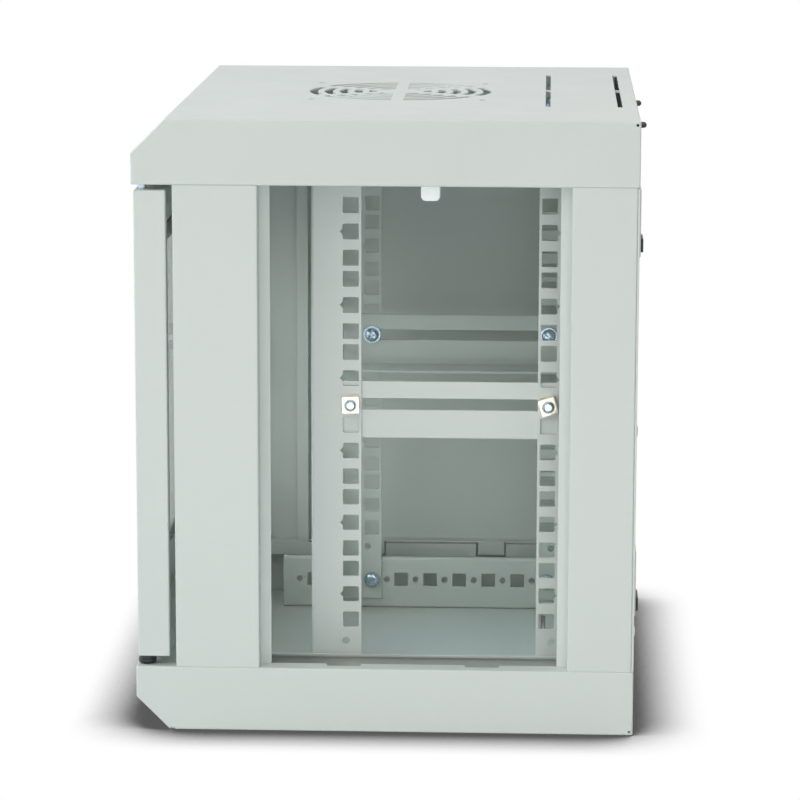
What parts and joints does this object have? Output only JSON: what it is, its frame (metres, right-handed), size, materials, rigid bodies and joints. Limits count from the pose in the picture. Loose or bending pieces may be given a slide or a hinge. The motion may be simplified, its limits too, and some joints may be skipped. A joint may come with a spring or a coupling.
{
  "type": "wall mount network cabinet",
  "caption": "Small grey steel wall cabinet for network gear with a glazed door, one side open, square-hole rack rails and a roof fan grille",
  "frame": {"origin": "centre of the footprint on the floor: +Z is up, the door faces -Y and the wall is at +Y", "axes": "x: width, + is the hinge side; y: depth, + is toward the wall; z: height"},
  "size_m": [0.35, 0.303, 0.367],
  "materials": {
    "powder_coat": "satin",
    "zinc_steel": "satin",
    "nickel_steel": "satin",
    "chromed_zinc": "polished",
    "black_plastic": "satin",
    "white_nylon": "satin",
    "seal_rubber": "matte",
    "tempered_glass": "clear"
  },
  "bodies": {
    "cabinet": {"bottom_tray": "powder_coat", "top_tray": "powder_coat", "front_post_right": "powder_coat", "rear_post_right": "powder_coat", "front_post_left": "powder_coat", "rear_post_left": "powder_coat", "post_screws": "zinc_steel", "post_nuts": "zinc_steel", "rear_panel": "powder_coat", "wall_pads": "black_plastic", "panel_rivets": "powder_coat", "roof_studs": "black_plastic", "panel_catch_right": "white_nylon", "panel_catch_left": "white_nylon", "front_rail_right": "powder_coat", "rear_rail_right": "powder_coat", "bottom_bar_right": "powder_coat", "top_bar_right": "powder_coat", "support_runner_right": "powder_coat", "front_rail_left": "powder_coat", "rear_rail_left": "powder_coat", "bottom_bar_left": "powder_coat", "top_bar_left": "powder_coat", "support_runner_left": "powder_coat", "runner_bolts": "zinc_steel", "runner_washers": "zinc_steel", "runner_nuts": "nickel_steel", "rail_bolts": "zinc_steel", "rail_nuts": "nickel_steel", "hinge_pin_bottom": "zinc_steel", "hinge_bush": "black_plastic"},
    "door": {"door_frame": "powder_coat", "hinge_brackets": "zinc_steel", "glass_seal": "seal_rubber", "door_glass": "tempered_glass", "glass_clips": "zinc_steel", "hinge_pin_top": "zinc_steel", "lock_housing": "chromed_zinc", "lock_nut": "chromed_zinc"},
    "lock_plug": {"lock_barrel": "chromed_zinc", "lock_cam": "zinc_steel", "cam_screw": "zinc_steel"},
    "side_panel": {"side_panel_left": "powder_coat"}
  },
  "joints": [
    {"name": "door_hinge", "type": "hinge", "parent": "cabinet", "child": "door", "pos_m": [0.165, -0.1435, 0.18485], "axis": [0, 0, 1], "range_deg": [0, 180]},
    {"name": "lock_turn", "type": "hinge", "parent": "door", "child": "lock_plug", "pos_m": [-0.147, -0.1496, 0.18485], "axis": [0, 1, 0], "range_deg": [0, 90]},
    {"name": "side_panel_tilt", "type": "hinge", "parent": "cabinet", "child": "side_panel", "pos_m": [-0.1745, 0.0164, 0.0386], "axis": [0, -1, 0], "range_deg": [0, 25]}
  ]
}
